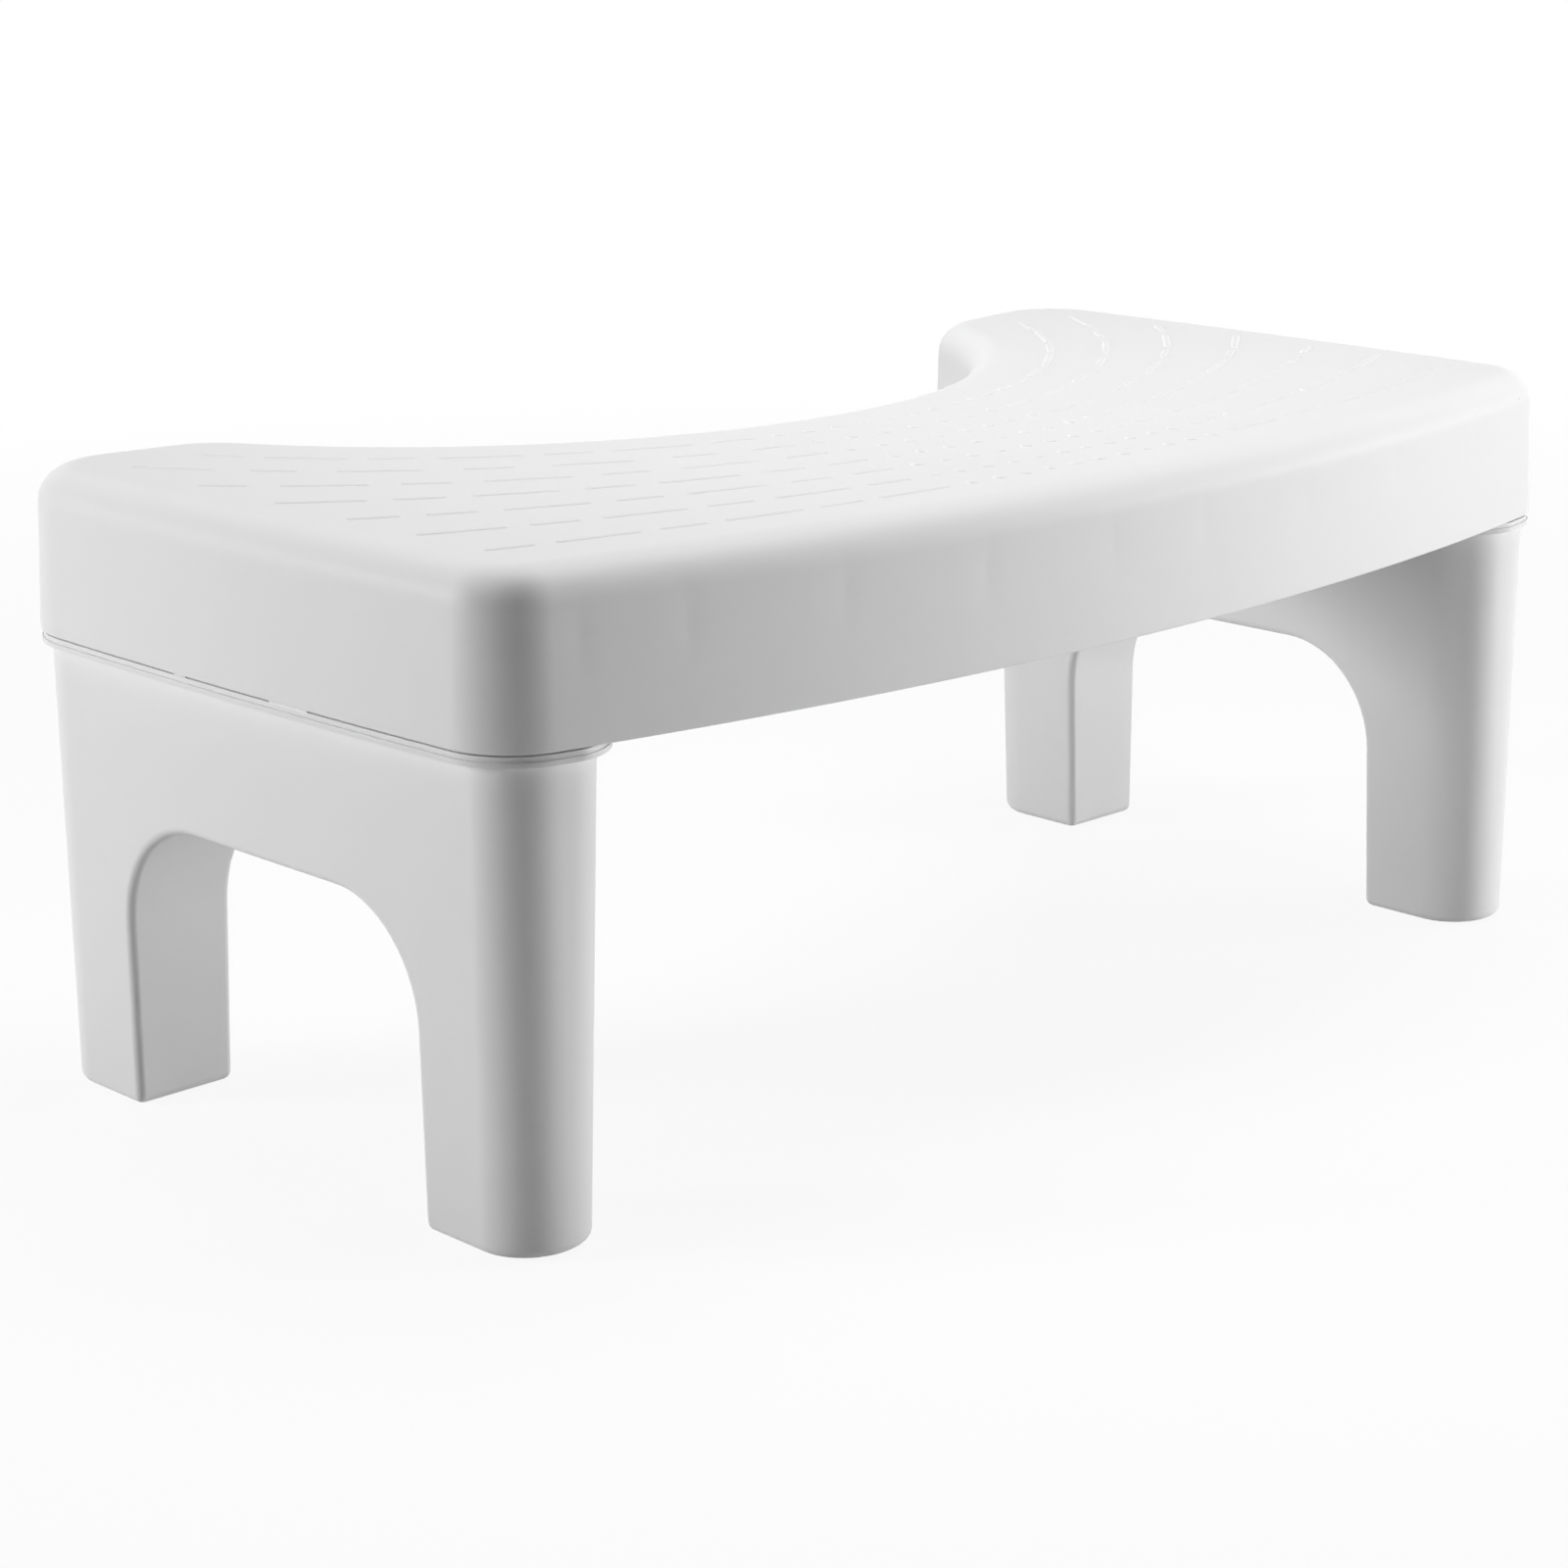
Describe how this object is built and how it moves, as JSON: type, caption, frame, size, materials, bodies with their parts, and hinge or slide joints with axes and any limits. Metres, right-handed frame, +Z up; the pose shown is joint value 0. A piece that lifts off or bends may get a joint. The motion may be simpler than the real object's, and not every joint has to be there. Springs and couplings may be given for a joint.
{
  "type": "toilet footstool",
  "caption": "Low footstool with a bowl-shaped recess along its rear side, a raised grip pattern on top and plug-in arched leg frames.",
  "frame": {"origin": "on the floor, under the middle of the bounding box", "axes": "+X along the length, -Y the bulging front, +Y the side with the recess, +Z up"},
  "size_m": [0.432, 0.2386, 0.1777],
  "materials": {
    "white_plastic": "satin moulded",
    "foot_rubber": "soft matt"
  },
  "bodies": {
    "top": {"top_shell": "white_plastic"},
    "left_frame": {"left_leg_frame": "white_plastic", "left_front_pad": "foot_rubber", "left_rear_pad": "foot_rubber"},
    "right_frame": {"right_leg_frame": "white_plastic", "right_front_pad": "foot_rubber", "right_rear_pad": "foot_rubber"}
  },
  "joints": [
    {"name": "left_frame_pull", "type": "slide", "parent": "top", "child": "left_frame", "axis": [0, 0, -1], "range_m": [0, 0.06]},
    {"name": "right_frame_pull", "type": "slide", "parent": "top", "child": "right_frame", "axis": [0, 0, -1], "range_m": [0, 0.06]}
  ]
}
